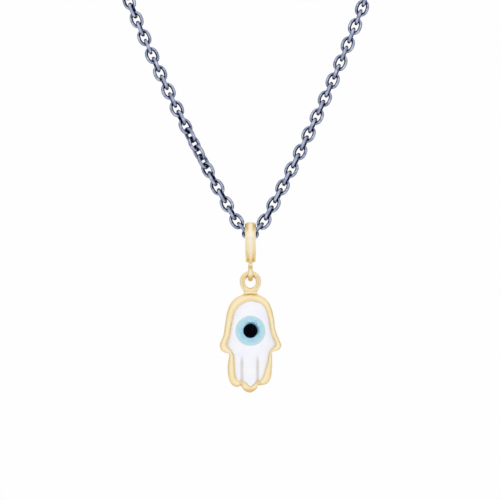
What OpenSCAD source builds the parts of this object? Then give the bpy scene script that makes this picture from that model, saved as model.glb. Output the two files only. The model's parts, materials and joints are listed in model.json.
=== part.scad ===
// Evil eye pendant on a cable chain, in millimetres.
// The origin is where the necklace rests on the nape, +Z is up and -Y is the front.

/* [Chain] */
// Links on each side of the bottom link, an odd number
side_links = 121; // [111:2:131]
// Distance from one link to the next
link_pitch = 1.86; // [1.84:0.01:1.9]
// Diameter of a link's wire
wire_d = 0.64; // [0.62:0.01:0.66]
// Outer width of a link
link_w = 2.58; // [2.56:0.01:2.62]
// Free play between two joined links
link_play = 0.13; // [0.12:0.01:0.16]
// Outer diameter of the clasp's ring
clasp_d = 7; // [6.8:0.1:7.4]
// Diameter of the clasp's wire
clasp_wire_d = 0.9; // [0.7:0.05:0.9]

/* [Drape] */
// Lean from vertical of the chain where it leaves the bail
low_lean = 29; // [27:0.5:31]
// Lean from vertical of the chain at the shoulders
high_lean = 21.5; // [20:0.5:24]
// Links over which the lean falls from the one to the other, an even number
lean_links = 26; // [20:2:34]
// How far the whole loop is tipped to the left of the pendant
loop_tilt = 0.8; // [0:0.1:1.5]
// Height over which the front of the loop hangs straight
front_h = 62; // [56:1:70]
// Radius of the turn over the collar bones
shoulder_r = 35; // [32:1:40]
// Lean from vertical of the loop's back part
back_lean = 68; // [60:1:72]

/* [Bail] */
// Free radius inside the top of the bail
bail_in_r = 1.66; // [1.64:0.02:1.7]
// Thickness of the bail's band
band_t = 0.68; // [0.64:0.02:0.74]
// Width of the band at the top
band_top_w = 2.06; // [1.9:0.02:2.08]
// Width of the band at the bottom
band_low_w = 2.02; // [1.9:0.02:2.06]
// Length of the bail from the middle of the link to the middle of its toe
bail_drop = 4.75; // [4.5:0.05:5.2]
// Wire diameter of the loop under the bail
loop_wire_d = 0.85; // [0.8:0.05:0.9]
// Clear width of that loop
loop_in_w = 1.3; // [1.26:0.02:1.4]
// Clear height of that loop
loop_in_h = 2.14; // [2.1:0.02:2.3]

/* [Hand] */
// Wire diameter of the ring on the hand
ring_wire_d = 1.04; // [0.96:0.02:1.1]
// Clear diameter of the ring on the hand
ring_in_d = 1.98; // [1.9:0.02:2.1]
// Width of the solder between the ring and the hand
solder_w = 2.6; // [2.4:0.02:2.7]
// Thickness of the hand from front to back
hand_t = 2.8; // [2.6:0.1:3]
// Gap between the glass and the metal, and between two glasses
seat_gap = 0.05; // [0.04:0.01:0.08]
// Diameter of the iris
iris_d = 5.7; // [5.5:0.1:5.9]
// Diameter of the pupil
pupil_d = 2.66; // [2.5:0.02:2.8]
// Width of the grooves between the fingers
groove_w = 0.5; // [0.4:0.05:0.6]

/* [Hidden] */

silver = [0.5, 0.55, 0.62];
gold = [0.92, 0.8, 0.55];
white_glass = [0.94, 0.95, 0.98];
blue_glass = [0.65, 0.84, 0.92];
black_glass = [0.03, 0.03, 0.05];

round_fn = 48;
left = -1;
right = 1;

// Radius of the middle line of a link's round ends
cap_r = (link_w - wire_d)/2;
// From the middle of a link to the middle of its round end
bar_half = (link_pitch + link_play + wire_d)/2 - cap_r;
// A link that faces the front spans from one of its round ends to the other,
// and the link that stands across spans from there to the next facing link
face_step = 2*bar_half;
cross_step = 2*link_pitch - face_step;

// How far the bottom link is tipped down at its right end
bottom_tip = 6;
// Lean of the first two links beside the bottom link, on the right and on the left
first_lean_right = 44;
first_lean_left = 42;
second_lean = 34;

clasp_r = (clasp_d - clasp_wire_d)/2;
loop_half = side_links*link_pitch + bar_half + clasp_r;

function is_even(i) = i % 2 == 0;
function link_step(i) = is_even(i) ? face_step : cross_step;

// Lean of the links that hang in front of the chest
function hang_lean(i, side) =
    i == 0 ? 90 + side*bottom_tip :
    i == 1 ? (side == right ? first_lean_right : first_lean_left) :
    i == 2 ? second_lean :
    i < lean_links ? low_lean + (high_lean - low_lean)*(i - 3)/(lean_links - 3) :
    high_lean;

// Width of one side of the loop where the lean stops falling
function hang_width(side) =
    bar_half + [for (i = 1, w = 0; i <= lean_links; w = w + link_step(i)*sin(hang_lean(i, side)), i = i + 1)
        w + link_step(i)*sin(hang_lean(i, side))][lean_links - 1];

// The mean width of the two sides there, and the distance along the loop
shown_w = (hang_width(left) + hang_width(right))/2;
shown_s = lean_links*link_pitch + bar_half;

// The straight sides end where an arc round the neck closes the loop at its real length
arc_share = (high_lean + 90)*PI/180/cos(high_lean);
straight_end = (loop_half - arc_share*(shown_w - shown_s*sin(high_lean)))/(1 + arc_share*sin(high_lean));
neck_r = (shown_w + (straight_end - shown_s)*sin(high_lean))/cos(high_lean);

// Lean of any link of one side, by its distance along the loop
function link_lean(i, side) =
    let (s = i*link_pitch)
    (s < straight_end ? hang_lean(i, side) : high_lean - (s - straight_end)/neck_r*180/PI) - side*loop_tilt;

// Sideways and upward travel from the bottom link's middle to the start of each link
function link_starts(side) =
    [for (i = 0, u = -bar_half*sin(link_lean(0, side)), v = -bar_half*cos(link_lean(0, side)), a = 0;
          i <= side_links;
          a = link_lean(i, side), u = u + link_step(i)*sin(a), v = v + link_step(i)*cos(a), i = i + 1)
        [u, v]];

// Roll of the links about their own length, which is a quarter twist on the left side.
// Columns: link and its roll in degrees
right_roll = [[0, 0], [1, -4], [3, -13], [35, 0], [side_links, 0]];
left_roll = [
    [0, 0], [1, -2], [3, -12], [7, -16], [9, -40], [12, -52], [15, -85], [20, -80], [27, -110],
    [side_links, 0]
];
function link_roll(i, side) = lookup(i, side == right ? right_roll : left_roll);

// The flat loop is rolled back over the shoulders, which keeps its length
turn_h = shoulder_r*back_lean*PI/180;
function back_angle(v) = v < front_h ? 0 : v < front_h + turn_h ? (v - front_h)/shoulder_r*180/PI : back_lean;
function rolled_y(v) =
    shoulder_r*(1 - cos(back_angle(v))) + max(0, v - front_h - turn_h)*sin(back_lean);
function rolled_z(v) =
    min(v, front_h) + shoulder_r*sin(back_angle(v)) + max(0, v - front_h - turn_h)*cos(back_lean);

// Where each side ends, in the middle of its last link's round end
function side_end(side) =
    let (start = link_starts(side)[side_links], a = link_lean(side_links, side),
         run = cross_step/2 + bar_half)
    [side*(start[0] + run*sin(a)), start[1] + run*cos(a)];
nape = (side_end(left) + side_end(right))/2;

// The bottom link, which carries the bail, seen from the nape
pendant_x = -nape[0];
pendant_y = -rolled_y(nape[1]);
pendant_z = -rolled_z(nape[1]);

// Places below the middle of the bottom link
toe_r = 0.65;
toe_corner_r = 0.2;
loop_cap_r = (loop_in_w + loop_wire_d)/2;
loop_bar_half = (loop_in_h - loop_in_w)/2;
loop_overlap = 0.3;
loop_z = -bail_drop - toe_r + loop_overlap - loop_wire_d - loop_in_h/2;
swing_z = loop_z - loop_in_h/2 - loop_wire_d/2;
ring_gap = 0.1;
ring_r = (ring_in_d + ring_wire_d)/2;
ring_z = swing_z + loop_wire_d/2 + ring_gap + ring_wire_d/2 - ring_r;
ring_above_eye = 9.27;
eye_z = ring_z - ring_above_eye;

// A ring of round wire stretched by two straight bars, standing in the XZ plane
module wire_link(mid_r, half_bar, wire) {
    for (end = [-1, 1]) {
        translate([0, 0, end*half_bar]) rotate([90, 0, 0])
            rotate([0, 0, end > 0 ? 0 : 180]) rotate_extrude(angle = 180, $fn = round_fn)
                translate([mid_r, 0]) circle(d = wire, $fn = round_fn);
        translate([end*mid_r, 0, -half_bar]) cylinder(d = wire, h = 2*half_bar, $fn = round_fn);
    }
}

module chain_side(side, first) {
    starts = link_starts(side);
    for (i = [first:side_links]) {
        lean = link_lean(i, side);
        reach = link_step(i)/2;
        u = side*(starts[i][0] + reach*sin(lean));
        v = starts[i][1] + reach*cos(lean);
        translate([u + pendant_x, rolled_y(v) + pendant_y, rolled_z(v) + pendant_z])
            rotate([-back_angle(v), 0, 0]) rotate([0, side*lean, 0])
                rotate([0, 0, (is_even(i) ? 0 : 90) + link_roll(i, side)])
                    wire_link(cap_r, bar_half, wire_d);
    }
}

module chain_left() {
    color(silver) chain_side(left, 1);
}

module chain_right() {
    color(silver) chain_side(right, 0);
}

module clasp() {
    color(silver) rotate([-back_lean, 0, 0]) rotate([90, 0, 0])
        rotate_extrude($fn = 2*round_fn) translate([clasp_r, 0]) circle(d = clasp_wire_d, $fn = round_fn);
}

// Rectangle with round corners, built from squares and circles
module round_rect(size, corner_r) {
    square([size[0] - 2*corner_r, size[1]], center = true);
    square([size[0], size[1] - 2*corner_r], center = true);
    for (x = [-1, 1], y = [-1, 1])
        translate([x*(size[0]/2 - corner_r), y*(size[1]/2 - corner_r)]) circle(r = corner_r, $fn = round_fn);
}

// The band's middle line is an arc over the link and two legs that meet at the toe
band_mid_r = bail_in_r + band_t/2;
band_corner_r = 0.3;
leg_end_gap = 0.05;
toe_mid_r = toe_r - band_t/2 + leg_end_gap;
leg_angle = asin((band_mid_r - toe_mid_r)/bail_drop);
leg_len = sqrt(bail_drop*bail_drop - pow(band_mid_r - toe_mid_r, 2));

module bail_arc() {
    rotate([0, 90, 0]) rotate([0, 0, 90 - leg_angle])
        rotate_extrude(angle = 180 + 2*leg_angle, $fn = 2*round_fn)
            translate([band_mid_r, 0]) round_rect([band_t, band_top_w], band_corner_r);
}

module bail_leg(end) {
    rotate([-end*leg_angle, 0, 0]) translate([0, end*band_mid_r, -leg_len]) rotate([0, 0, 90])
        linear_extrude(height = leg_len) round_rect([band_t, band_top_w], band_corner_r);
}

module bail_toe() {
    toe_half = band_low_w/2;
    translate([0, 0, -bail_drop]) rotate([0, 90, 0]) rotate_extrude($fn = round_fn) {
        translate([0, toe_corner_r - toe_half]) square([toe_r, 2*(toe_half - toe_corner_r)]);
        translate([0, -toe_half]) square([toe_r - toe_corner_r, band_low_w]);
        for (end = [-1, 1])
            translate([toe_r - toe_corner_r, end*(toe_half - toe_corner_r)])
                circle(r = toe_corner_r, $fn = round_fn);
    }
}

// Front outline that narrows the legs towards the toe
module bail_taper() {
    margin = 1;
    top = bail_in_r + band_t + margin;
    low = bail_drop + toe_r + margin;
    rotate([90, 0, 0]) translate([0, 0, -top]) linear_extrude(height = 2*top)
        polygon([[-band_top_w/2, top], [-band_top_w/2, 0], [-band_low_w/2, -bail_drop],
                 [-band_low_w/2, -low], [band_low_w/2, -low], [band_low_w/2, -bail_drop],
                 [band_top_w/2, 0], [band_top_w/2, top]]);
}

module bail() {
    color(gold) translate([pendant_x, pendant_y, pendant_z]) {
        intersection() {
            union() {
                bail_arc();
                for (end = [-1, 1]) bail_leg(end);
                bail_toe();
            }
            bail_taper();
        }
        translate([0, 0, loop_z]) rotate([0, 0, 90]) wire_link(loop_cap_r, loop_bar_half, loop_wire_d);
    }
}

// The hand's rim, clockwise from the top, measured from the middle of the eye.
// Columns: outer edge x and z, inner edge x and z
rim_rows = [
    [0.00, 7.10, 0.00, 5.65],
    [1.25, 6.85, 1.05, 5.50],
    [2.55, 6.30, 2.05, 5.10],
    [3.50, 5.35, 2.80, 4.30],
    [4.12, 4.00, 3.25, 3.00],
    [4.52, 2.25, 3.53, 1.70],
    [4.75, 0.40, 3.75, 0.30],
    [5.20, -1.00, 4.10, -0.95],
    [5.70, -2.15, 4.65, -1.95],
    [5.88, -2.95, 4.75, -2.60],
    [5.38, -3.65, 4.38, -3.20],
    [4.22, -4.04, 3.75, -3.80],
    [4.15, -4.80, 3.45, -4.55],
    [4.17, -6.15, 3.22, -5.85],
    [4.10, -7.50, 2.85, -7.00],
    [3.90, -8.95, 2.55, -8.15],
    [3.30, -9.95, 2.15, -9.05],
    [2.30, -10.35, 1.80, -9.40],
    [1.50, -10.40, 1.30, -9.50],
    [1.08, -11.02, 0.85, -9.95],
    [0.00, -11.75, 0.05, -10.60],
    [-1.15, -11.30, -0.70, -10.00],
    [-1.85, -10.52, -1.40, -9.50],
    [-2.50, -10.72, -1.90, -9.48],
    [-3.50, -10.28, -2.50, -9.25],
    [-4.12, -9.15, -2.85, -8.35],
    [-4.35, -7.40, -2.95, -7.00],
    [-4.25, -5.80, -3.00, -5.80],
    [-4.06, -4.82, -3.12, -4.62],
    [-4.12, -4.40, -3.38, -4.18],
    [-4.90, -4.16, -3.72, -3.66],
    [-5.50, -3.80, -4.18, -3.14],
    [-5.85, -2.80, -4.40, -2.45],
    [-5.60, -1.90, -4.25, -1.80],
    [-5.20, -1.00, -3.90, -0.85],
    [-4.95, 0.50, -3.65, 0.50],
    [-4.70, 2.20, -3.35, 2.10],
    [-4.40, 3.70, -2.95, 3.55],
    [-3.80, 5.15, -2.40, 4.35],
    [-2.85, 6.15, -1.72, 4.95],
    [-1.60, 6.80, -0.92, 5.42]
];

// Section of the rim from its back over its front to the tray's floor.
// Columns: share of the way from outer to inner edge, share of the half thickness
tray_floor = 0.6;
rim_section = [
    [0.12, 1.00], [0.00, 0.80], [0.00, -0.45], [0.07, -0.74], [0.22, -0.93], [0.45, -1.00],
    [0.70, -0.95], [0.88, -0.86], [1.00, -0.74], [1.00, tray_floor]
];

// Smooth curve through the rows of a closed table
rim_steps = 3;
function curve_at(p0, p1, p2, p3, t) =
    (2*p1 + (p2 - p0)*t + (2*p0 - 5*p1 + 4*p2 - p3)*t*t + (3*p1 - p0 - 3*p2 + p3)*t*t*t)/2;
function closed_curve(rows, steps) =
    let (n = len(rows))
    [for (i = [0:n - 1], k = [0:steps - 1])
        curve_at(rows[(i + n - 1) % n], rows[i], rows[(i + 1) % n], rows[(i + 2) % n], k/steps)];
rim = closed_curve(rim_rows, rim_steps);

function rim_point(row, share) =
    [row[0] + (row[2] - row[0])*share, row[1] + (row[3] - row[1])*share];

// The tray is one shell: back face, outer wall, crest, inner wall and floor
module hand_tray() {
    count = len(rim);
    levels = len(rim_section);
    points = [for (level = rim_section, row = rim)
        let (p = rim_point(row, level[0])) [p[0], level[1]*hand_t/2, p[1]]];
    walls = [for (k = [0:levels - 2], i = [0:count - 1])
        let (j = (i + 1) % count)
        [k*count + i, k*count + j, (k + 1)*count + j, (k + 1)*count + i]];
    back = [for (i = [count - 1:-1:0]) i];
    floor_face = [for (i = [0:count - 1]) (levels - 1)*count + i];
    polyhedron(points = points, faces = concat(walls, [back, floor_face]), convexity = 6);
}

// Outline of the solder from inside the ring's wire to inside the rim.
// Columns: share of the half width, height above the middle of the eye
solder_t = 0.8;
solder_rows = [
    [0.00, 7.95], [0.45, 8.00], [0.78, 8.25], [0.98, 8.60], [1.00, 7.75],
    [1.00, 7.40], [1.07, 7.10], [1.22, 6.86], [1.46, 6.68], [1.50, 6.20], [0.00, 6.00]
];

module solder() {
    translate([0, solder_t/2, 0]) rotate([90, 0, 0]) linear_extrude(height = solder_t)
        for (side = [left, right])
            polygon([for (row = solder_rows) [side*row[0]*solder_w/2, row[1]]]);
}

module hand_frame() {
    color(gold) translate([pendant_x, pendant_y, pendant_z]) {
        translate([0, 0, eye_z]) {
            hand_tray();
            solder();
        }
        translate([0, 0, ring_z]) rotate([90, 0, 0]) rotate_extrude($fn = 2*round_fn)
            translate([ring_r, 0]) circle(d = ring_wire_d, $fn = round_fn);
    }
}

// The glass fills the tray and bulges to the front across its width
glass_back = tray_floor*hand_t/2 - seat_gap;
glass_front = -1.15;
glass_bulge_r = 22;
glass_half_h = 15;

// Places from back to front of the seats and of the edges of iris and pupil
iris_seat = -0.35;
iris_edge = -1.12;
iris_dome = 0.18;
pupil_seat = -0.75;
pupil_edge = -1.3;
pupil_dome = 0.12;
seat_h = 2;

// The grooves between the fingers
groove_top = -4.85;
groove_low = -10;
groove_x = [-1.6, 1.39];

// The tray's inner edge, drawn in by the seat's gap
module glass_outline() {
    polygon([for (row = rim)
        let (w = norm([row[0] - row[2], row[1] - row[3]]))
        rim_point(row, 1 + seat_gap/w)]);
}

module groove() {
    h = groove_top - groove_low;
    translate([0, glass_front, groove_top - h]) cylinder(d = groove_w, h = h, $fn = round_fn);
    translate([0, glass_front, groove_top]) sphere(d = groove_w, $fn = round_fn);
}

// Round hole from the front down to a seat
module seat(back, d) {
    translate([0, back + seat_gap, 0]) rotate([90, 0, 0])
        cylinder(r = d/2 + seat_gap, h = seat_h, $fn = 2*round_fn);
}

module glass_hand() {
    color(white_glass) translate([pendant_x, pendant_y, pendant_z + eye_z]) difference() {
        intersection() {
            translate([0, glass_back, 0]) rotate([90, 0, 0])
                linear_extrude(height = seat_h + glass_back - glass_front) glass_outline();
            translate([0, glass_front + glass_bulge_r, -glass_half_h])
                cylinder(r = glass_bulge_r, h = 2*glass_half_h, $fn = 4*round_fn);
        }
        seat(iris_seat, iris_d);
        for (x = groove_x)
            translate([x, 0, 0]) groove();
    }
}

// Disc that faces the front and is domed from its edge forward
module domed_disc(d, back, edge, dome) {
    dome_r = (d*d/4 + dome*dome)/(2*dome);
    intersection() {
        translate([0, back, 0]) rotate([90, 0, 0])
            cylinder(d = d, h = back - edge + 2*dome, $fn = 2*round_fn);
        translate([0, edge - dome + dome_r, 0]) sphere(r = dome_r, $fn = 4*round_fn);
    }
}

module iris() {
    color(blue_glass) translate([pendant_x, pendant_y, pendant_z + eye_z]) difference() {
        domed_disc(iris_d, iris_seat, iris_edge, iris_dome);
        seat(pupil_seat, pupil_d);
    }
}

module pupil() {
    color(black_glass) translate([pendant_x, pendant_y, pendant_z + eye_z])
        domed_disc(pupil_d, pupil_seat, pupil_edge, pupil_dome);
}

chain_left();
chain_right();
clasp();
bail();
hand_frame();
glass_hand();
iris();
pupil();
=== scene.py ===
"""Looks of the evil eye pendant on its cable chain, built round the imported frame.

Shapes are worked out in millimetres from a local origin and turned into metres where a mesh is made.
X runs to the right, -Y to the front that shows the eye, and Z up.
A part is a tuple of points, faces and marks, where marks are named values at every point, from 0 to 1,
that the materials read as attributes.
"""
from collections import namedtuple
import json
import math

import bmesh
import bpy
import numpy as np
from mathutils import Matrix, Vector, noise


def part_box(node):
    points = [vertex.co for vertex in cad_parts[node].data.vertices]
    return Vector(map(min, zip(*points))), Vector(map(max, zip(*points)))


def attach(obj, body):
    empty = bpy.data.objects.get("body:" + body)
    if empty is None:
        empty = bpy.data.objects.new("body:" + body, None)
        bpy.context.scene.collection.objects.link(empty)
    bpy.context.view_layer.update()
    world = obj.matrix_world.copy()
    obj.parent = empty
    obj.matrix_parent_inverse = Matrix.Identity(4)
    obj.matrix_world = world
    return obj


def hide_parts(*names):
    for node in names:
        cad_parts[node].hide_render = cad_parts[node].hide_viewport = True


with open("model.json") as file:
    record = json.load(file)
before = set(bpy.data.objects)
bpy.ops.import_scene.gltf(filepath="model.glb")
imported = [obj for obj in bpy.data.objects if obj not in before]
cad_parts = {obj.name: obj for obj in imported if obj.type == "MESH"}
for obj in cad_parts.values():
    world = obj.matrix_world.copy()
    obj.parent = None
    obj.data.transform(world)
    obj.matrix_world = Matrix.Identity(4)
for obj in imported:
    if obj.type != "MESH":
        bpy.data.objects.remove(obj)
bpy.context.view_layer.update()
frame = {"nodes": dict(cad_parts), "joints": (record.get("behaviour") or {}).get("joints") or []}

MM = 0.001
PHOTO_MM_A_PIXEL = 0.19
PHOTO_PIXELS = 500

scene = bpy.context.scene
joint_place = {row["name"]: Vector(row["pos_m"]) for row in frame["joints"]}
link_middle = joint_place["bail_swing"]
loop_middle = joint_place["hand_swing"]
iris_low, iris_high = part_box("iris")
eye_middle = Vector(((iris_low.x + iris_high.x)/2, link_middle.y, (iris_low.z + iris_high.z)/2))


# Camera, at the photo's level view
LENS_MM = 150
SENSOR_MM = 36
BOTTOM_LINK_PIXEL = (250.4, 234.5)
frame_width = PHOTO_PIXELS*PHOTO_MM_A_PIXEL*MM
view_distance = frame_width*LENS_MM/SENSOR_MM
aim = Vector((
    link_middle.x - (BOTTOM_LINK_PIXEL[0] - PHOTO_PIXELS/2)*PHOTO_MM_A_PIXEL*MM,
    link_middle.y,
    link_middle.z + (BOTTOM_LINK_PIXEL[1] - PHOTO_PIXELS/2)*PHOTO_MM_A_PIXEL*MM))
camera_data = bpy.data.cameras.new("camera")
camera_data.lens = LENS_MM
camera_data.sensor_width = SENSOR_MM
camera_data.clip_start = 0.01
camera_data.clip_end = 10
camera = bpy.data.objects.new("camera", camera_data)
camera.location = aim + Vector((0, -view_distance, 0))
camera.rotation_euler = (math.radians(90), 0, 0)
scene.collection.objects.link(camera)
scene.camera = camera
scene.view_settings.view_transform = "Standard"


# Helpers for numbers

def smooth_step(low, high, value):
    """0 up to low and 1 from high on, smooth between them. It falls with the value if low is above high."""
    share = np.clip((value - low)/(high - low), 0, 1)
    return share*share*(3 - 2*share)


def bell(value, width):
    """1 where the value is 0, and less the further it is from 0, on the scale of the width."""
    return np.exp(-(value/width)**2)


def bent(wave, power):
    """A sine or cosine raised to a power with its sign kept, which makes an ellipse squarer."""
    return np.sign(wave)*np.abs(wave)**power


def turns(steps):
    """Angles of that many even steps round a circle."""
    return 2*math.pi*np.arange(steps)/steps


def between(before, start, end, after, share):
    """The point that share of the way from start to end, on a smooth curve through all four points."""
    return (2*start + (end - before)*share
            + (2*before - 5*start + 4*end - after)*share**2
            + (3*start - before - 3*end + after)*share**3)/2


def closed_curve(rows, steps):
    """Smooth closed curve through the rows, with that many points for each row."""
    rows = np.array(rows, float)
    before, after, second = np.roll(rows, 1, 0), np.roll(rows, -1, 0), np.roll(rows, -2, 0)
    points = [between(before, rows, after, second, share) for share in np.arange(steps)/steps]
    return np.stack(points, 1).reshape(-1, rows.shape[1])


def open_curve(rows, steps):
    """Smooth curve through the rows that ends at the first and the last."""
    rows = np.array(rows, float)
    padded = np.vstack([2*rows[0] - rows[1], rows, 2*rows[-1] - rows[-2]])
    points = [between(padded[:-3], padded[1:-2], padded[2:-1], padded[3:], share)
              for share in np.arange(steps)/steps]
    return np.vstack([np.stack(points, 1).reshape(-1, rows.shape[1]), rows[-1]])


# How far the noise moves along each axis from one seed to the next
NOISE_STEPS = (7.3, 3.1, 5.7)


def shaped_noise(points, size, seed):
    """Smooth noise from about -1 to 1 at points in millimetres, with features of that size."""
    shift = Vector([seed*step for step in NOISE_STEPS])
    return np.array([noise.noise(Vector(point)/size + shift) for point in points])


# Helpers for meshes

def skin(rows, columns, closed=True):
    """Quads over rows of points that each go round, where the last row meets the first if it is closed."""
    row, column = np.meshgrid(np.arange(rows if closed else rows - 1), np.arange(columns), indexing="ij")
    start = row*columns
    after = ((row + 1) % rows)*columns
    ahead = (column + 1) % columns
    return np.stack([start + column, start + ahead, after + ahead, after + column], -1).reshape(-1, 4)


def capped(rows):
    """Points and faces of a tube through rows of points, closed at both ends round their middles."""
    rows = np.array(rows, float)
    count, columns = rows.shape[:2]
    points = np.vstack([rows.reshape(-1, 3), rows[0].mean(0), rows[-1].mean(0)])
    faces = [tuple(face) for face in skin(count, columns, closed=False)]
    first_middle, last_middle = count*columns, count*columns + 1
    last = (count - 1)*columns
    for k in range(columns):
        ahead = (k + 1) % columns
        faces.append((ahead, k, first_middle))
        faces.append((last + k, last + ahead, last_middle))
    return points, faces


def torus(mid_r, wire_r, steps, wire_steps):
    """Points and faces of a ring of round wire about the third axis."""
    angle = turns(steps)[:, None]
    turn = turns(wire_steps)[None, :]
    reach = mid_r + wire_r*np.cos(turn)
    height = np.broadcast_to(wire_r*np.sin(turn), (steps, wire_steps))
    points = np.stack([np.cos(angle)*reach, np.sin(angle)*reach, height], -1)
    return points.reshape(-1, 3), skin(steps, wire_steps)


def joined(parts):
    """One part made of several that have the same marks."""
    points, faces, marks = zip(*parts)
    firsts = np.cumsum([0] + [len(one) for one in points])
    all_faces = [[index + first for index in face] for first, some in zip(firsts, faces) for face in some]
    all_marks = {mark: np.concatenate([some[mark] for some in marks]) for mark in marks[0]}
    return np.vstack(points), all_faces, all_marks


def make_piece(name, part, middle, body, slot, node):
    """A smooth mesh of a part about a middle in metres, which rides on its body in its node's stead."""
    points, faces, marks = part
    mesh = bpy.data.meshes.new(name)
    mesh.from_pydata((points*MM).tolist(), [], [[int(index) for index in face] for face in faces])
    work = bmesh.new()
    work.from_mesh(mesh)
    bmesh.ops.recalc_face_normals(work, faces=work.faces)
    work.to_mesh(mesh)
    work.free()
    mesh.shade_smooth()
    for mark, values in marks.items():
        attribute = mesh.attributes.new(mark, "FLOAT", "POINT")
        attribute.data.foreach_set("value", np.array(values, np.float32))
    mesh.materials.append(materials[slot])
    piece = bpy.data.objects.new(name, mesh)
    piece.location = middle
    scene.collection.objects.link(piece)
    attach(piece, body)
    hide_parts(node)


# Helpers for materials

# Sockets of a Mix node where it mixes colours
MIX_SHARE = 0
MIX_FIRST = 6
MIX_SECOND = 7
MIX_RESULT = 2


def add_node(tree, kind, inputs=None, **settings):
    """A new node with its settings, whose inputs are linked to other nodes or set to constants."""
    node = tree.nodes.new(kind)
    for key, value in settings.items():
        setattr(node, key, value)
    for key, value in (inputs or {}).items():
        if isinstance(value, bpy.types.NodeSocket):
            tree.links.new(value, node.inputs[key])
        else:
            node.inputs[key].default_value = value
    return node


def rgb(red, green, blue):
    """A colour given as it shows on screen, from 0 to 255, in Blender's linear values."""
    values = []
    for part in (red, green, blue):
        share = part/255
        values.append(share/12.92 if share <= 0.04045 else ((share + 0.055)/1.055)**2.4)
    return (*values, 1)


def mixed(tree, share, first, second):
    """The colour that share of the way from the first to the second."""
    node = add_node(tree, "ShaderNodeMix", {MIX_SHARE: share, MIX_FIRST: first, MIX_SECOND: second},
                    data_type="RGBA")
    return node.outputs[MIX_RESULT]


def spread(tree, value, low, high, to_low=0, to_high=1):
    """A value from low to high, smoothly brought to another range and held at its ends."""
    node = add_node(tree, "ShaderNodeMapRange", {
        "Value": value, "From Min": low, "From Max": high, "To Min": to_low, "To Max": to_high},
        interpolation_type="SMOOTHSTEP")
    return node.outputs["Result"]


def maths(tree, operation, *values):
    """The result of a Math node."""
    return add_node(tree, "ShaderNodeMath", dict(enumerate(values)), operation=operation).outputs[0]


def mark_of(tree, mark):
    """What a part's mark says at the point."""
    return add_node(tree, "ShaderNodeAttribute", attribute_name=mark).outputs["Fac"]


def clouds(tree, spot, size_mm, detail=2, roughness=0.5):
    """Noise from 0 to 1 with features of that size on the object."""
    node = add_node(tree, "ShaderNodeTexNoise", {
        "Vector": spot, "Scale": 1/(size_mm*MM), "Detail": detail, "Roughness": roughness})
    return node.outputs["Fac"]


def facing_front(tree, place):
    """1 where the surface faces the front or the back, and 0 where it faces a side."""
    split = add_node(tree, "ShaderNodeSeparateXYZ", {"Vector": place.outputs["Normal"]})
    return maths(tree, "ABSOLUTE", split.outputs["Y"])


def new_material(name, **constants):
    """A material whose shader has those constant values, with its tree, shader and coordinates."""
    material = bpy.data.materials.new(name)
    material.use_nodes = True
    tree = material.node_tree
    shader = tree.nodes["Principled BSDF"]
    for key, value in constants.items():
        shader.inputs[key.replace("_", " ")].default_value = value
    place = tree.nodes.new("ShaderNodeTexCoord")
    return material, tree, shader, place


def bump(tree, shader, height, strength, distance_mm):
    """Relief on the shader that follows a height."""
    node = add_node(tree, "ShaderNodeBump", {
        "Height": height, "Strength": strength, "Distance": distance_mm*MM})
    tree.links.new(node.outputs["Normal"], shader.inputs["Normal"])


# Materials

SILVER_GREY = rgb(160, 169, 197)
SILVER_WORN = rgb(212, 219, 236)
SILVER_STREAK = rgb(100, 110, 144)
# Painted shade on the chain's flanks, then blue black oxide mixed with painted shade in its hollows
SILVER_SHADED_FLANK = rgb(62, 74, 112)
SILVER_TARNISH_AND_SHADE = rgb(78, 88, 128)
SILVER_OXIDE_AND_SHADE = rgb(5, 11, 40)
# Gold lit on its front, with painted shade on its flanks and creases, and a painted highlight
GOLD_SHADED_FLANK = rgb(243, 216, 156)
GOLD_LIT_FRONT = rgb(253, 232, 181)
GOLD_SHADE_TONE = rgb(217, 175, 94)
GOLD_HIGHLIGHT = rgb(255, 247, 228)
MILK_WHITE = rgb(249, 249, 252)
MILK_BLUE = rgb(244, 245, 253)
# Painted shade in the grooves of the glass
GROOVE_SHADE_GREY = rgb(222, 218, 211)
IRIS_INSIDE = rgb(150, 208, 234)
IRIS_OUTSIDE = rgb(186, 223, 230)
IRIS_EDGE = rgb(204, 226, 232)
IRIS_STREAK = rgb(206, 233, 240)
IRIS_SHADE = rgb(52, 112, 134)
IRIS_BUBBLE = rgb(206, 246, 255)
PUPIL_BLACK = rgb(1, 2, 6)
PUPIL_BLUE = rgb(8, 8, 20)
FLOOR_GREY = rgb(240, 240, 242)
FLOOR_PALE = rgb(247, 247, 248)


def make_silver():
    """Silver that was darkened and then polished, so that blue black oxide stays in its recesses, with
    painted shade on the side flanks, where links meet, inside the links and at their tips.
    """
    material, tree, shader, place = new_material("darkened_silver", Metallic=1.0)
    spot = place.outputs["Object"]
    # Blue black oxide in the hollows, together with painted shade where links meet, inside them and at their
    # tips
    patina = maths(tree, "ADD", mark_of(tree, "patina"),
                   spread(tree, clouds(tree, spot, 0.45), 0.3, 0.7, -0.16, 0.16))
    worn = spread(tree, clouds(tree, spot, 0.8), 0.35, 0.65)
    grey = mixed(tree, worn, SILVER_GREY, SILVER_WORN)
    streak = spread(tree, clouds(tree, spot, 0.4, roughness=0.6), 0.5, 0.66, 0, 0.75)
    grey = mixed(tree, streak, grey, SILVER_STREAK)
    # Painted shade on the flanks that face the sides
    shaded_flank = mixed(tree, spread(tree, facing_front(tree, place), 0.25, 0.95), SILVER_SHADED_FLANK, grey)
    tarnish_and_shade = mixed(tree, spread(tree, patina, 0.05, 0.42), shaded_flank, SILVER_TARNISH_AND_SHADE)
    colour = mixed(tree, spread(tree, patina, 0.32, 0.62), tarnish_and_shade, SILVER_OXIDE_AND_SHADE)
    tree.links.new(colour, shader.inputs["Base Color"])
    polish = spread(tree, clouds(tree, spot, 0.25, detail=3), 0.3, 0.7, 0.26, 0.42)
    tree.links.new(polish, shader.inputs["Roughness"])
    bump(tree, shader, clouds(tree, spot, 0.3), 0.25, 0.03)
    return material


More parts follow.
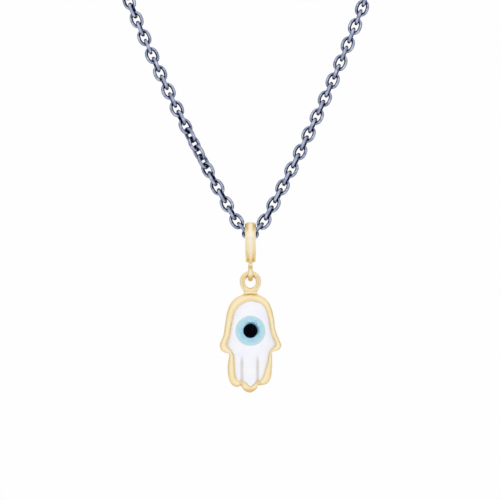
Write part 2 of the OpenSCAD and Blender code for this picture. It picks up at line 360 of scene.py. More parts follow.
def make_gold():
    """Pale gold, with painted shade that makes it deeper on the flanks and in the creases than on the front
    that faces the light, and painted highlights.
    """
    material, tree, shader, place = new_material("pale_gold", Metallic=1.0)
    spot = place.outputs["Object"]
    # Painted shade: gold that faces the sides is deeper than gold that faces the front
    painted_lighting = maths(tree, "ADD", facing_front(tree, place),
                   spread(tree, clouds(tree, spot, 1.6), 0.3, 0.7, -0.1, 0.1))
    colour = mixed(tree, spread(tree, painted_lighting, 0.2, 0.95), GOLD_SHADED_FLANK, GOLD_LIT_FRONT)
    colour = mixed(tree, spread(tree, mark_of(tree, "crease"), 0.0, 1.0), colour, GOLD_SHADE_TONE)
    colour = mixed(tree, mark_of(tree, "pale"), colour, GOLD_HIGHLIGHT)
    tree.links.new(colour, shader.inputs["Base Color"])
    polish = spread(tree, clouds(tree, spot, 0.9), 0.3, 0.7, 0.24, 0.34)
    tree.links.new(polish, shader.inputs["Roughness"])
    bump(tree, shader, clouds(tree, spot, 0.9, roughness=0.4), 0.12, 0.04)
    return material


def make_white_glass():
    """Milky glass, with painted shade that makes it greyer in the grooves between the fingers."""
    material, tree, shader, place = new_material(
        "white_glass", Roughness=0.12, IOR=1.5, Specular_IOR_Level=0.5)
    spot = place.outputs["Object"]
    drift = spread(tree, clouds(tree, spot, 3.0, detail=3), 0.3, 0.7)
    colour = mixed(tree, drift, MILK_WHITE, MILK_BLUE)
    # Painted shade in the grooves between the fingers
    colour = mixed(tree, mark_of(tree, "groove"), colour, GROOVE_SHADE_GREY)
    tree.links.new(colour, shader.inputs["Base Color"])
    bump(tree, shader, clouds(tree, spot, 1.6), 0.1, 0.05)
    return material


def make_blue_glass():
    """Pale blue glass, stronger towards the pupil and grey at its edge, with a few bubbles."""
    material, tree, shader, place = new_material(
        "blue_glass", Roughness=0.1, IOR=1.5, Specular_IOR_Level=0.5)
    spot = place.outputs["Object"]
    flat = add_node(tree, "ShaderNodeVectorMath", {0: spot, 1: (1, 0, 1)}, operation="MULTIPLY").outputs[0]
    reach = add_node(tree, "ShaderNodeVectorMath", {0: flat}, operation="LENGTH").outputs["Value"]
    drift = spread(tree, clouds(tree, spot, 0.9, detail=3), 0.25, 0.75, -0.35*MM, 0.35*MM)
    ragged = maths(tree, "ADD", reach, drift)
    colour = mixed(tree, spread(tree, ragged, 1.3*MM, 2.6*MM), IRIS_INSIDE, IRIS_OUTSIDE)
    colour = mixed(tree, spread(tree, reach, 2.6*MM, 2.86*MM), colour, IRIS_EDGE)
    streak = spread(tree, clouds(tree, spot, 0.45, detail=3, roughness=0.6), 0.45, 0.75, 0, 0.5)
    colour = mixed(tree, streak, colour, IRIS_STREAK)
    colour = mixed(tree, mark_of(tree, "shade"), colour, IRIS_SHADE)
    colour = mixed(tree, mark_of(tree, "bubble"), colour, IRIS_BUBBLE)
    tree.links.new(colour, shader.inputs["Base Color"])
    return material


def make_black_glass():
    """Nearly black glass with a faint blue cloud in it."""
    material, tree, shader, place = new_material(
        "black_glass", Roughness=0.2, IOR=1.5, Specular_IOR_Level=0.02)
    cloud = spread(tree, clouds(tree, place.outputs["Object"], 1.0), 0.4, 0.7)
    tree.links.new(mixed(tree, cloud, PUPIL_BLACK, PUPIL_BLUE), shader.inputs["Base Color"])
    return material


materials = {
    "silver": make_silver(),
    "gold": make_gold(),
    "white_glass": make_white_glass(),
    "blue_glass": make_blue_glass(),
    "black_glass": make_black_glass()}


# Chain, one fine link round each link of the frame

LINK_STEPS = 36
WIRE_STEPS = 14
# Power of the curve that a link's wire follows, where 2 is an ellipse and more is squarer
LINK_POWER = 2.25
# Smallest and largest size of a link along each axis, as a share of the frame's link
LINK_SIZES = (0.985, 1.01)
# How much thicker the wire is on the inside of a link's ends, which closes most of the play
TIP_GROWTH = 0.05
# How flat the lower half of the bottom link lies, as a share of its height
BOTTOM_LINK_FLAT = 0.74
# Vertices of the frame closer than this, in metres, are one
WELD = 1e-7

# Middle and half sizes of a link, and the directions of its length, its width and its wire's depth
LinkPlace = namedtuple("LinkPlace", "middle axes half")


def welded(mesh):
    """Points of a mesh in metres without doubles, and the edges between them."""
    points = np.empty(len(mesh.vertices)*3, np.float32)
    mesh.vertices.foreach_get("co", points)
    points = points.reshape(-1, 3).astype(float)
    edges = np.empty(len(mesh.edges)*2, np.int64)
    mesh.edges.foreach_get("vertices", edges)
    keys = np.round(points/WELD).astype(np.int64)
    _, first, place = np.unique(keys, axis=0, return_index=True, return_inverse=True)
    return points[first], place.ravel()[edges.reshape(-1, 2)]


def solids_of(node):
    """The points of each separate solid of a CAD node, in metres."""
    points, edges = welded(frame["nodes"][node].data)
    # Each point takes the lowest number beside it, until all the points of a solid have the same one
    label = np.arange(len(points))
    settled = False
    while not settled:
        before = label.copy()
        low = np.minimum(label[edges[:, 0]], label[edges[:, 1]])
        np.minimum.at(label, edges[:, 0], low)
        np.minimum.at(label, edges[:, 1], low)
        label = label[label]
        settled = np.array_equal(before, label)
    order = np.argsort(label, kind="stable")
    cuts = np.flatnonzero(np.diff(label[order])) + 1
    return [points[part] for part in np.split(order, cuts)]


def link_place(points):
    """Place in millimetres of the link or ring that has those points in metres."""
    middle = points.mean(0)
    _, vectors = np.linalg.eigh(np.cov((points - middle).T))
    axes = vectors[:, ::-1].T
    local = (points - middle) @ axes.T
    low, high = local.min(0), local.max(0)
    middle = middle + ((low + high)/2) @ axes
    return LinkPlace(middle/MM, axes, (high - low)/2/MM)


def link_line(half_length, half_width):
    """Middle line of a link's wire, length first and width second."""
    angle = turns(LINK_STEPS)
    along = bent(np.sin(angle), 2/LINK_POWER)*half_length
    across = bent(np.cos(angle), 2/LINK_POWER)*half_width
    return np.stack([along, across, np.zeros(LINK_STEPS)], 1)


def link_form(line, wire_r):
    """Points of a link about its middle, and how far each lies inside the link and at its tips."""
    half_length = line[:, 0].max()
    run = np.roll(line, -1, 0) - np.roll(line, 1, 0)
    run /= np.linalg.norm(run, axis=1)[:, None]
    outward = np.stack([-run[:, 1], run[:, 0], run[:, 2]], 1)
    outward *= np.sign((outward*line).sum(1))[:, None]
    turn = turns(WIRE_STEPS)
    points = line[:, None] + wire_r*np.cos(turn)[None, :, None]*outward[:, None]
    points[:, :, 2] = wire_r*np.sin(turn)
    points = points.reshape(-1, 3)
    inner = np.tile(-np.cos(turn), LINK_STEPS)
    near_tip = smooth_step(0.6*half_length, half_length, np.abs(points[:, 0]) + wire_r*np.maximum(inner, 0))
    points[:, 0] -= TIP_GROWTH*np.sign(points[:, 0])*near_tip*smooth_step(0, 1, inner)
    tip = smooth_step(half_length, half_length + 0.6*wire_r, np.abs(points[:, 0]))
    return points, inner, tip


def near_others(points, others, line, wire_r):
    """1 where a point is within 0.1 mm of another link's wire, and 0 from 0.6 mm away."""
    gaps = []
    for other in others:
        other_line = other.middle + line @ other.axes
        gaps.append(np.linalg.norm(points[:, None] - other_line[None], axis=2).min(1) - wire_r)
    return 1 - smooth_step(0.1, 0.6, np.min(gaps, 0))


def dark_shares(link):
    """How dark a link is inside and at its tips, as painted shade that goes by how it is turned to the
    front.
    """
    # 1 where the link is seen flat from the front, and 0 where it is seen edge on
    facing = abs(link.axes[2, 1])
    inner_share = 0.95*(1 - 2.4*facing**2*(1 - facing**2))
    tip_share = 0.4 + 0.5*(1 - facing)
    return inner_share, tip_share


def make_chain():
    """Both halves of the chain, whose links are dark inside, at their tips and where they meet, from oxide
    in their hollows and painted shade.
    """
    chains = {node: [link_place(points) for points in solids_of(node)]
              for node in ("chain_left", "chain_right")}
    links = [link for chain in chains.values() for link in chain]
    middles = np.array([link.middle for link in links])
    half_length, half_width, wire_r = links[0].half
    line = link_line(half_length - wire_r, half_width - wire_r)
    form, inner, tip = link_form(line, wire_r)
    quads = skin(LINK_STEPS, WIRE_STEPS)
    rng = np.random.default_rng(7)
    for node, chain in chains.items():
        parts = []
        for link in chain:
            points = link.middle + (form*rng.uniform(*LINK_SIZES, 3)) @ link.axes
            beside = np.argsort(np.linalg.norm(middles - link.middle, axis=1))[1:3]
            contact_shade = near_others(points, [links[i] for i in beside], line, wire_r)
            inner_share, tip_share = dark_shares(link)
            is_bottom_link = np.linalg.norm(link.middle - np.array(link_middle)/MM) < wire_r
            if is_bottom_link:
                # Painted shadow from the links above darkens only the upper tip of the bottom link, and its
                # lower half lies flatter
                height = points[:, 2] - link.middle[2]
                tip_share = smooth_step(-0.3, 0.4, height)
                points[:, 2] -= (1 - BOTTOM_LINK_FLAT)*np.minimum(height, 0)
            # Oxide and painted shade where links meet, inside them and at their tips
            patina = np.max([contact_shade, inner_share*smooth_step(0.0, 0.85, inner), tip_share*tip], 0)
            parts.append((points, quads, {"patina": patina}))
        make_piece(node + "_links", joined(parts), (0, 0, 0), "chain", "silver", node)


make_chain()


# Clasp, a plain ring that lies on the nape

CLASP_STEPS = 96
CLASP_WIRE_STEPS = 24


def make_clasp():
    """The ring of the clasp, darkened on its inside."""
    clasp = link_place(solids_of("clasp")[0])
    wire_r = clasp.half[2]
    mid_r = clasp.half[0] - wire_r
    points, faces = torus(mid_r, wire_r, CLASP_STEPS, CLASP_WIRE_STEPS)
    reach = np.hypot(points[:, 0], points[:, 1])
    patina = 0.6*smooth_step(mid_r, mid_r - 0.9*wire_r, reach)
    make_piece("clasp_ring", (points @ clasp.axes, faces, {"patina": patina}), clasp.middle*MM,
               "chain", "silver", "clasp")


make_clasp()


# Bail, a band over the bottom link with a wire loop under its toe

BAND_STEPS = 220
BAND_ACROSS_STEPS = 24
BAIL_IN_R = 1.66
BAND_T = 0.68
BAND_EDGE_T = 0.3
BAND_TOP_W = 2.06
BAND_LOW_W = 1.96
# How far above the middle of the toe the band begins to narrow
BAND_TAPER_RISE = 1.4
# Power of the band's dome, where 0.5 is half an ellipse and less is flatter
BAND_DOME_POWER = 0.45
# How far the inside of the band lies from its hollow's outline, and from its edge on each side
BAND_INSIDE_STEP = 0.04
BAND_INSIDE_MARGIN = 0.05
# Painted shade on the inside of the band, and no painted highlight
BAND_INSIDE_TONES = {"crease": 0.3, "pale": 0}
# The hollow ends in a tip this round, this far above the middle of the toe
HOLLOW_TIP_R = 0.02
HOLLOW_RISE = 0.6
# How far the toe stands to the right of the bail's middle
TOE_SHIFT = 0.05
BAIL_DROP = 4.75
TOE_R = 0.65
TOE_CORNER = 0.3
# How much lower the edges of the toe are than its domed middle
TOE_DOME = 0.12
LOOP_STEPS = 72
LOOP_WIRE_STEPS = 20
LOOP_WIRE_R = 0.425
LOOP_IN_W = 1.3
LOOP_IN_H = 2.14
# How much wider the loop's wire is at its bottom, as a share
LOOP_SPREAD = 0.18


def on_circle(radius, angle, middle_z=0):
    """The point at that angle on a circle whose middle is that high."""
    return np.array([radius*math.cos(angle), radius*math.sin(angle) + middle_z])


def teardrop(top_r, low_r, drop, steps):
    """Outline of a belt round a big circle at the origin and a small one below it."""
    lean = math.asin((top_r - low_r)/drop)
    leg = math.sqrt(drop**2 - (top_r - low_r)**2)
    left_leg, low_arc, right_leg, whole = np.cumsum(
        [top_r*(math.pi + 2*lean), leg, low_r*(math.pi - 2*lean), leg])
    left_top, left_low = on_circle(top_r, math.pi + lean), on_circle(low_r, math.pi + lean, -drop)
    right_top, right_low = on_circle(top_r, -lean), on_circle(low_r, -lean, -drop)
    points = []
    for place in np.arange(steps)/steps*whole:
        if place < left_leg:
            points.append(on_circle(top_r, place/top_r - lean))
        elif place < low_arc:
            points.append(left_top + (left_low - left_top)*(place - left_leg)/leg)
        elif place < right_leg:
            points.append(on_circle(low_r, math.pi + lean + (place - low_arc)/low_r, -drop))
        else:
            points.append(right_low + (right_top - right_low)*(place - right_leg)/leg)
    return np.array(points)


def band_half_width(z):
    """Half the width of the band at a height, with its taper and the rounded corners of the toe."""
    width = BAND_LOW_W + (BAND_TOP_W - BAND_LOW_W)*smooth_step(0, BAND_TAPER_RISE, z + BAIL_DROP)
    below = np.clip((TOE_CORNER - TOE_R - BAIL_DROP - z)/TOE_CORNER, 0, 1)
    return width/2 - TOE_CORNER*(1 - np.sqrt(1 - below**2))


def band_tones(across, y, z):
    """Painted shade beside the band's middle, most over the link and at the toe, and a painted highlight in
    paler gold.
    """
    above_toe = z + BAIL_DROP
    front = smooth_step(0.6, 1.5, -y)
    over_link = smooth_step(0.0, 1.2, z)
    low = smooth_step(2.6, 0.2, above_toe)
    toe = smooth_step(0.5, -0.1, above_toe)
    tip = smooth_step(-0.34, -0.55, above_toe)
    beside = bell(np.abs(across) - 0.58 + 0.06*low, 0.26)
    middle = bell(across, 0.36)
    edge = smooth_step(0.76, 1.0, np.abs(across))
    upper = 0.28*smooth_step(-2.8, -1.0, z)*(1 - over_link)
    deep = beside*(0.05 + 0.75*over_link + 0.56*low + 0.36*toe) + (0.3*toe + 0.08*over_link)*middle
    light = front*(0.85*middle*(1 - 0.7*toe)*(1 - 0.15*over_link)*(1 - 0.35*low) + 0.8*edge + upper)
    return {"crease": deep*(1 - tip), "pale": np.maximum(np.minimum(light, 1), 0.85*tip)}


def band_part():
    """The band, domed outside and flat inside, with a toe that is solid."""
    outer = teardrop(BAIL_IN_R + BAND_T, TOE_R, BAIL_DROP, BAND_STEPS)
    inner = teardrop(BAIL_IN_R, HOLLOW_TIP_R, BAIL_DROP - HOLLOW_RISE, BAND_STEPS)
    depth = np.linalg.norm(outer - inner, axis=1)[:, None]
    outward = (outer - inner)/depth
    y, z = outer[:, :1], outer[:, 1:]
    solid = smooth_step(1.0, -0.2, z + BAIL_DROP)
    edge = np.minimum(BAND_EDGE_T, 0.6*depth)*(1 - solid) + (depth - TOE_DOME)*solid
    across = np.cos(np.linspace(0, math.pi, BAND_ACROSS_STEPS))
    dome = np.clip(1 - across**2, 0, 1)**BAND_DOME_POWER
    half = band_half_width(z)
    shift = TOE_SHIFT*smooth_step(-2.0, -BAIL_DROP, z)
    x = np.hstack([across*half, across[::-1]*(half - BAND_INSIDE_MARGIN)]) + shift
    inside = np.ones((BAND_STEPS, BAND_ACROSS_STEPS))
    height = np.hstack([edge + (depth - edge)*dome, BAND_INSIDE_STEP*inside])
    place = inner[:, None] + outward[:, None]*height[:, :, None]
    tones = band_tones(across, y, z)
    marks = {mark: np.hstack([tones[mark], tone*inside]).ravel() for mark, tone in BAND_INSIDE_TONES.items()}
    return np.dstack([x, place]).reshape(-1, 3), skin(BAND_STEPS, 2*BAND_ACROSS_STEPS), marks


def loop_tones(x, z):
    """Painted shade under the toe and where the hand's ring meets the loop, and a painted highlight between.
    """
    deep = bell(z - 0.8, 0.38)*bell(x, 0.26) + 0.55*smooth_step(-0.55, -0.95, z)
    light = 0.95*smooth_step(1.1, 1.5, z) + 0.55*bell(z + 0.2, 0.55)
    return {"crease": deep, "pale": light}


def loop_part():
    """The loop of wire, a ring whose halves are moved apart, with wider wire at its bottom."""
    points, faces = torus(LOOP_IN_W/2 + LOOP_WIRE_R, LOOP_WIRE_R, LOOP_STEPS, LOOP_WIRE_STEPS)
    points = points[:, [2, 0, 1]]
    # Rounding keeps the points at the ring's middle height where they are
    points[:, 2] += np.sign(np.round(points[:, 2], 6))*(LOOP_IN_H - LOOP_IN_W)/2
    points[:, 0] *= 1 + LOOP_SPREAD*smooth_step(1.5, -0.6, points[:, 2])
    marks = loop_tones(points[:, 0], points[:, 2])
    points[:, 2] += (loop_middle.z - link_middle.z)/MM + LOOP_WIRE_R + LOOP_IN_H/2
    return points, faces, marks


make_piece("bail_band", joined([band_part(), loop_part()]), link_middle, "bail", "gold", "bail")


# Hand, measured from the middle of the eye

# The rim clockwise from the top, as outer edge x and z and inner edge x and z
RIM_ROWS = [
    (0.00, 7.10, 0.00, 5.65), (1.25, 6.85, 1.05, 5.50), (2.55, 6.30, 2.05, 5.10), (3.50, 5.35, 2.80, 4.30),
    (4.12, 4.00, 3.25, 3.00), (4.52, 2.25, 3.53, 1.70), (4.75, 0.40, 3.75, 0.30), (5.20, -1.00, 4.10, -0.95),
    (5.70, -2.15, 4.65, -1.95), (5.88, -2.95, 4.75, -2.60), (5.38, -3.65, 4.38, -3.20),
    (4.22, -4.04, 3.75, -3.80), (4.15, -4.80, 3.45, -4.55), (4.17, -6.15, 3.22, -5.85),
    (4.10, -7.50, 2.85, -7.00), (3.90, -8.95, 2.55, -8.15), (3.30, -9.95, 2.15, -9.05),
    (2.30, -10.35, 1.80, -9.40), (1.50, -10.40, 1.30, -9.50), (1.10, -11.12, 0.85, -9.95),
    (0.00, -11.75, 0.05, -10.60), (-1.13, -11.38, -0.70, -10.00), (-1.85, -10.52, -1.40, -9.50),
    (-2.50, -10.72, -1.90, -9.48), (-3.50, -10.28, -2.50, -9.25), (-4.12, -9.15, -2.85, -8.35),
    (-4.35, -7.40, -2.95, -7.00), (-4.25, -5.80, -3.00, -5.80), (-4.06, -4.82, -3.12, -4.62),
    (-4.12, -4.40, -3.38, -4.18), (-4.90, -4.16, -3.72, -3.66), (-5.50, -3.80, -4.18, -3.14),
    (-5.85, -2.80, -4.40, -2.45), (-5.60, -1.90, -4.25, -1.80), (-5.20, -1.00, -3.90, -0.85),
    (-4.95, 0.50, -3.65, 0.50), (-4.70, 2.20, -3.35, 2.10), (-4.40, 3.70, -2.95, 3.55),
    (-3.80, 5.15, -2.40, 4.35), (-2.85, 6.15, -1.72, 4.95), (-1.60, 6.80, -0.92, 5.42)]
RIM_STEPS = 12
HAND_HALF_T = 1.4
# Section of the rim from the back to the floor, with the seam of the back plate in its wall.
# Columns: share of the way from outer to inner edge, share of the half thickness
RIM_SECTION = [
    (0.30, 1.00), (0.14, 0.99), (0.04, 0.94), (0.00, 0.86), (0.00, 0.76), (0.035, 0.73), (0.00, 0.70),
    (0.00, 0.55), (0.00, -0.30), (0.015, -0.50), (0.06, -0.70), (0.18, -0.89), (0.40, -0.98),
    (0.62, -0.97), (0.84, -0.89), (0.96, -0.79), (1.00, -0.70), (1.00, 0.60)]
SECTION_STEPS = 3
# Where the seam lies in the wall, as a share of the half thickness
SEAM_HEIGHT = 0.73
# Rings of the back plate and the floor, as shares of the way from the eye's middle to their edges
PLATE_SHARES = (0.05, 0.25, 0.45, 0.65, 0.82, 0.94)
FLOOR_SHARES = (0.6, 0.1)
# Size of the rim's dents and swells, how far they go at the front, and how deep they are in the back
DENT_SIZE = 2.6
DENT_FRONT = 0.05
DENT_BACK = 0.04
# Painted shade in deeper gold between two finger tips, as x and z, and how far it reaches
NOTCHES = [(-1.75, -10.10), (1.70, -9.95)]
NOTCH_R = 0.55
# Solder from inside the ring's wire to the rim, as height, half width and half depth
SOLDER_ROWS = [
    (8.00, 1.30, 0.30), (7.92, 1.50, 0.36), (7.80, 1.52, 0.42), (7.60, 1.36, 0.45), (7.38, 1.25, 0.48),
    (7.18, 1.24, 0.54), (7.00, 1.38, 0.64), (6.86, 1.60, 0.78), (6.70, 1.86, 0.94), (6.52, 2.06, 1.05),
    (6.30, 1.94, 1.00)]
SOLDER_ROW_STEPS = 4
SOLDER_STEPS = 40
# Power of the solder's outline seen from above, where 1 is an ellipse and less is squarer
SOLDER_POWER = 0.7
RING_STEPS = 96
RING_WIRE_STEPS = 24
RING_WIRE_R = 0.52
RING_IN_R = 0.99
# How far the inside of the ring's top stays above the loop's wire
RING_PLAY = 0.1
# How much longer the ring is below its middle than above, as a share
RING_STRETCH = 0.14
# Half the width of the ring's wire seen from the front, a little more than its half depth
RING_HALF_W = 0.54

rim = closed_curve(RIM_ROWS, RIM_STEPS)


def rim_tones(points, share, front):
    """Deeper gold in the seam, painted shade under the ring, at the finger tips and in the dips, and a
    painted highlight on a paler crest.
    """
    x, y, z = points.T
    under_ring = smooth_step(1.9, 0.4, np.abs(x))*smooth_step(5.6, 6.2, z)*smooth_step(0.42, 0.2, share)
    tip = smooth_step(-10.5, -11.3, z)
    under_tips = smooth_step(-9.5, -10.3, z)*smooth_step(0.5, 0.15, share)
    seam = bell(y/HAND_HALF_T - SEAM_HEIGHT, 0.03)*smooth_step(0.2, 0.1, share)
    beside_glass = front*smooth_step(0.7, 0.95, share)
    notch = front*sum(bell(np.hypot(x - notch_x, z - notch_z), NOTCH_R) for notch_x, notch_z in NOTCHES)
    crease = np.max([0.62*under_ring, 0.55*tip, 0.5*seam, 0.4*under_tips, 0.2*beside_glass, 0.75*notch], 0)
    crest = bell(share - 0.55, 0.2)*front*(1 - tip)
    pale = np.clip(crest*(0.34 + 0.4*shaped_noise(points, size=1.8, seed=5)), 0, 0.7)
    return {"crease": crease, "pale": pale}


def rim_part():
    """The back plate, the wall and crest of the rim and the floor under the glass, as one skin."""
    plate = [(*RIM_SECTION[0], size) for size in PLATE_SHARES]
    section = [(share, height, 1) for share, height in open_curve(RIM_SECTION, SECTION_STEPS)]
    floor = [(*RIM_SECTION[-1], size) for size in FLOOR_SHARES]
    outer, inner = rim[:, :2], rim[:, 2:]
    rows, shares = [], []
    for share, height, size in plate + section + floor:
        x, z = ((outer + (inner - outer)*share)*size).T
        rows.append(np.stack([x, np.full(len(x), height*HAND_HALF_T), z], 1))
        shares.append(np.full(len(x), share))
    points, faces = capped(rows)
    share_at = np.concatenate(shares + [RIM_SECTION[0][:1], RIM_SECTION[-1][:1]])
    wave = shaped_noise(points, DENT_SIZE, seed=3)
    front = smooth_step(0.2, -1.0, points[:, 1])
    back = smooth_step(1.3, 1.4, points[:, 1])
    points[:, 1] += DENT_FRONT*wave*front - DENT_BACK*np.abs(wave)*back
    points[:, 1] = np.maximum(points[:, 1], -HAND_HALF_T)
    return points, faces, rim_tones(points, share_at, front)


def ring_tones(reach, height):
    """Painted shade inside the top, beside the loop, and along the wire, with a painted highlight in paler
    gold beside it.
    """
    top = smooth_step(0.3, 0.9, height)
    low = smooth_step(-0.9, -1.5, height)
    painted_lighting = 0.8*smooth_step(RING_IN_R + 0.5, RING_IN_R, reach)*top
    along = 0.58*bell(reach - RING_IN_R - 0.5, 0.18)*(1 - 0.6*low)
    pale = 0.8*smooth_step(0.22, 0.42, np.abs(reach - RING_IN_R - RING_HALF_W))*(1 - top)
    return {"crease": np.maximum(painted_lighting, along), "pale": pale}


def ring_part():
    """The ring that hangs on the bail's loop."""
    points, faces = torus(RING_IN_R + RING_HALF_W, RING_HALF_W, RING_STEPS, RING_WIRE_STEPS)
    x, height, depth = points.T
    reach = np.hypot(x, height)
    height = height*np.where(height < 0, 1 + RING_STRETCH, 1)
    ring_z = (loop_middle.z - eye_middle.z)/MM + LOOP_WIRE_R + RING_PLAY - RING_IN_R
    points = np.stack([x, -depth*RING_WIRE_R/RING_HALF_W, height + ring_z], 1)
    return points, faces, ring_tones(reach, height)


def solder_part():
    """A flat neck of solder with hollow sides between the ring and the rim."""
    turn = turns(SOLDER_STEPS)
    across, deep = bent(np.cos(turn), SOLDER_POWER), bent(np.sin(turn), SOLDER_POWER)
    points, faces = capped([
        np.stack([across*half_width, deep*half_depth, np.full(SOLDER_STEPS, height)], 1)
        for height, half_width, half_depth in open_curve(SOLDER_ROWS, SOLDER_ROW_STEPS)])
    x, _, z = points.T
    # Painted shade along the valley where the solder meets the rim, and a painted highlight on its top
    crease = 0.6*smooth_step(7.2, 6.9, z + 0.1*x**2)*smooth_step(1.7, 0.3, np.abs(x))
    return points, faces, {"crease": crease, "pale": 0.5*smooth_step(7.1, 7.4, z)}


make_piece("hand_bezel", joined([rim_part(), ring_part(), solder_part()]), eye_middle,
           "hand", "gold", "hand_frame")


# Glass of the hand and its eye, measured from the middle of the eye

GLASS_STEPS = 480
GLASS_LEVELS = 64
# Power of the levels' spacing, which brings them closer together towards the rim
GLASS_LEVEL_POWER = 0.85
GLASS_BACK = 0.78
GLASS_FRONT = -1.15
GLASS_BULGE_R = 22
# How far the glass reaches into the rim's inner wall, and how far from its edge its front dips to the lip
GLASS_OVERLAP = 0.05
GLASS_DIP = 0.28
# How far, at most, the edge of the glass stands in front of the lip of the rim's inner wall
GLASS_PROUD = 0.05
GROOVE_X = (-1.6, 1.39)
GROOVE_TOP = -4.75
GROOVE_DEPTH = 0.3
IRIS_STEPS = 200
IRIS_LEVELS = 48
IRIS_R = 2.85
IRIS_RISE = 0.17
IRIS_BACK = -0.35
# Floor of the recess for the iris, and how far the iris reaches past its wall
IRIS_SEAT = -0.3
IRIS_OVERLAP = 0.06
PUPIL_STEPS = 120
PUPIL_LEVELS = 28
PUPIL_R = 1.33
PUPIL_RISE = 0.11
PUPIL_BACK = -0.75
# Floor of the recess for the pupil, and the play round the pupil
PUPIL_SEAT = -0.72
PUPIL_PLAY = 0.02
# How far the edges of the iris and the pupil stand in front of the glass that each is set in
EYE_STEP = 0.01
# Waves in those two edges, as share of the radius, number round the disc and start of the wave
EDGE_WAVES = [(0.008, 3, 1), (0.005, 7, 2)]
# Bubbles in the iris, as x, z and radius
BUBBLES = [(0.10, 1.77, 0.20), (0.66, 1.69, 0.16), (0.99, 1.46, 0.16), (0.97, 1.96, 0.12)]


def groove_depth(x, z):
    """How far each point lies in one of the two grooves between the fingers, from 0 to 1."""
    run = smooth_step(GROOVE_TOP + 0.4, GROOVE_TOP - 1.4, z)
    soft = sum(bell(x - middle + 0.04, 0.25) for middle in GROOVE_X)
    line = sum(bell(x - middle - 0.13, 0.11) for middle in GROOVE_X)
    return run*(0.85*soft + 0.3*line)


def glass_height(x, z):
    """Front face of the white glass, with the grooves between the fingers."""
    return GLASS_FRONT + x*x/(2*GLASS_BULGE_R) + GROOVE_DEPTH*groove_depth(x, z)


def iris_height(x, z):
    """Front face of the iris, a low dome that bends with the white glass."""
    share = np.clip((x*x + z*z)/IRIS_R**2, 0, 1)
    return GLASS_FRONT + x*x/(2*GLASS_BULGE_R) - EYE_STEP - IRIS_RISE*(1 - share)


def pupil_height(x, z):
    """Front face of the pupil, a low dome on that of the iris."""
    share = np.clip((x*x + z*z)/PUPIL_R**2, 0, 1)
    return iris_height(x, z) - EYE_STEP - PUPIL_RISE*(1 - share)


def row_at(angle, reach, depth):
    """Points round the eye's middle at that reach, with one depth or a depth that follows x and z."""
    x, z = reach*np.sin(angle), reach*np.cos(angle)
    y = depth(x, z) if callable(depth) else np.full(len(angle), depth)
    return np.stack([x, y, z], 1)


def glass_reach(angle):
    """How far the white glass reaches from the eye's middle at each angle."""
    inner = rim[:, 2:]
    outward = rim[:, :2] - inner
    edge = inner + outward/np.linalg.norm(outward, axis=1)[:, None]*GLASS_OVERLAP
    edge_angle = np.unwrap(np.arctan2(edge[:, 0], edge[:, 1]))
    order = np.argsort(edge_angle)
    distance = np.linalg.norm(edge, axis=1)
    return np.interp(angle, edge_angle[order], distance[order], period=2*math.pi)


def make_glass_hand():
    """The white glass, from the recess for the iris out to the rim, and back to the floor."""
    angle = turns(GLASS_STEPS)
    reach = glass_reach(angle)
    hole = IRIS_R - IRIS_OVERLAP
    lip = RIM_SECTION[-2][1]*HAND_HALF_T - GLASS_PROUD
    rows = [row_at(angle, hole, IRIS_SEAT)]
    for share in np.linspace(0, 1, GLASS_LEVELS)**GLASS_LEVEL_POWER:
        row = row_at(angle, hole + (reach - hole)*share, glass_height)
        dip = smooth_step(GLASS_DIP, GLASS_OVERLAP, (reach - hole)*(1 - share))
        row[:, 1] += np.maximum(lip - row[:, 1], 0)*dip
        rows.append(row)
    rows.append(row_at(angle, reach, GLASS_BACK))
    points, faces = capped(rows)
    # Painted shade in the grooves between the fingers
    marks = {"groove": groove_depth(points[:, 0], points[:, 2])}
    make_piece("glass_palm", (points, faces, marks), eye_middle, "hand", "white_glass", "glass_hand")


def disc_rows(radius, start, front, back, steps, levels):
    """Rows of a round piece of glass, from a start near its middle out to its uneven edge and its back."""
    angle = turns(steps)
    edge = radius*(1 + sum(size*np.sin(count*angle + first) for size, count, first in EDGE_WAVES))
    rows = [row_at(angle, start + (edge - start)*share, front) for share in np.linspace(0, 1, levels)]
    return rows + [row_at(angle, edge, back)]


def eye_marks(points):
    """Shade beside the pupil on the upper right, and the bubbles with light middles and dark lower edges."""
    x, _, z = points.T
    beside = np.hypot(x, z) - PUPIL_R
    turned = (x + z)/np.maximum(np.hypot(x, z)*math.sqrt(2), 1e-6)
    shade = smooth_step(0.6, 0.0, beside)*smooth_step(-0.1, 0.7, turned)
    shade = np.maximum(shade, 0.5*smooth_step(0.2, 0.0, beside))
    light = np.zeros(len(points))
    for bubble_x, bubble_z, radius in BUBBLES:
        away = np.hypot(x - bubble_x, z - bubble_z)/radius
        under = smooth_step(0.3, -0.6, (z - bubble_z)/radius)
        shade = np.maximum(shade, under*bell(away - 1.1, 0.4))
        light = np.maximum(light, smooth_step(0.9, 0.3, away))
    return {"shade": shade, "bubble": light}


def make_iris():
    """The iris, with a recess for the pupil."""
    hole = PUPIL_R + PUPIL_PLAY
    recess = [row_at(turns(IRIS_STEPS), hole, PUPIL_SEAT)]
    points, faces = capped(recess + disc_rows(IRIS_R, hole, iris_height, IRIS_BACK, IRIS_STEPS, IRIS_LEVELS))
    make_piece("eye_iris", (points, faces, eye_marks(points)), eye_middle, "hand", "blue_glass", "iris")


def make_pupil():
    """The pupil, in the recess of the iris."""
    start = 0.01*PUPIL_R
    points, faces = capped(disc_rows(PUPIL_R, start, pupil_height, PUPIL_BACK, PUPIL_STEPS, PUPIL_LEVELS))
    make_piece("eye_pupil", (points, faces, {}), eye_middle, "hand", "black_glass", "pupil")


make_glass_hand()
make_iris()
make_pupil()


# Floor, light and surroundings, in metres

FLOOR_DROP = 0.085
FLOOR_R = 0.3
FLOOR_STEPS = 96
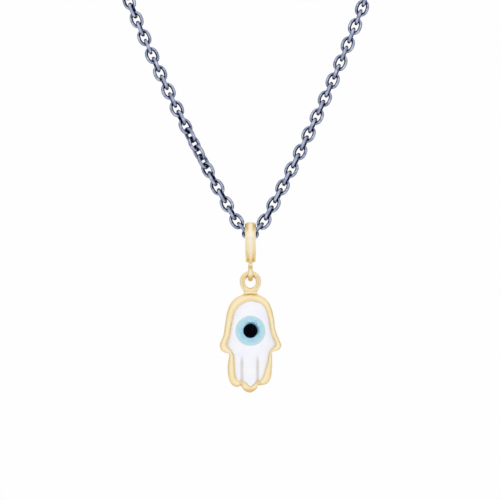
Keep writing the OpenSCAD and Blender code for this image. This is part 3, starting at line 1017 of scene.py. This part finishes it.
# Place of the light from the point that the camera aims at
LIGHT_PLACE = Vector((-0.25, -0.35, 0.3))
LIGHT_SIZE = 1.0
LIGHT_WATTS = 0.5
ROOM_PALE = (0.97, 0.97, 0.98, 1)
ROOM_SIDE = (0.72, 0.73, 0.77, 1)
ROOM_FLOOR = (0.45, 0.45, 0.47, 1)
SEEN_WHITE = (0.99, 0.99, 0.99, 1)


def make_floor():
    """A pale round floor below the camera's view."""
    mesh = bpy.data.meshes.new("floor")
    points = [(FLOOR_R*math.cos(angle), FLOOR_R*math.sin(angle), 0) for angle in turns(FLOOR_STEPS)]
    mesh.from_pydata(points, [], [tuple(range(FLOOR_STEPS))])
    material, tree, shader, place = new_material("pale_floor", Roughness=0.7)
    tone = clouds(tree, place.outputs["Object"], 40)
    tree.links.new(mixed(tree, tone, FLOOR_GREY, FLOOR_PALE), shader.inputs["Base Color"])
    mesh.materials.append(material)
    floor = bpy.data.objects.new("floor", mesh)
    floor.location = (aim.x, aim.y, aim.z - FLOOR_DROP)
    scene.collection.objects.link(floor)


def make_light():
    """A wide soft light from the upper left of the front."""
    data = bpy.data.lights.new("key", "AREA")
    data.shape = "DISK"
    data.size = LIGHT_SIZE
    data.energy = LIGHT_WATTS
    light = bpy.data.objects.new("key", data)
    light.location = aim + LIGHT_PLACE
    light.visible_glossy = False
    light.rotation_euler = (-LIGHT_PLACE).to_track_quat("-Z", "Y").to_euler()
    scene.collection.objects.link(light)


def make_world():
    """White where the camera looks, and for the metal a soft room with darker sides and floor."""
    world = bpy.data.worlds.new("studio")
    scene.world = world
    world.use_nodes = True
    tree = world.node_tree
    background = tree.nodes["Background"]
    way = add_node(tree, "ShaderNodeSeparateXYZ",
                   {"Vector": tree.nodes.new("ShaderNodeTexCoord").outputs["Generated"]})
    side = maths(tree, "ABSOLUTE", way.outputs["X"])
    room = mixed(tree, spread(tree, side, 0.55, 0.95), ROOM_PALE, ROOM_SIDE)
    room = mixed(tree, spread(tree, way.outputs["Z"], -0.9, -0.3), ROOM_FLOOR, room)
    seen = tree.nodes.new("ShaderNodeLightPath").outputs["Is Camera Ray"]
    tree.links.new(mixed(tree, seen, room, SEEN_WHITE), background.inputs["Color"])
    background.inputs["Strength"].default_value = 1


make_floor()
make_light()
make_world()
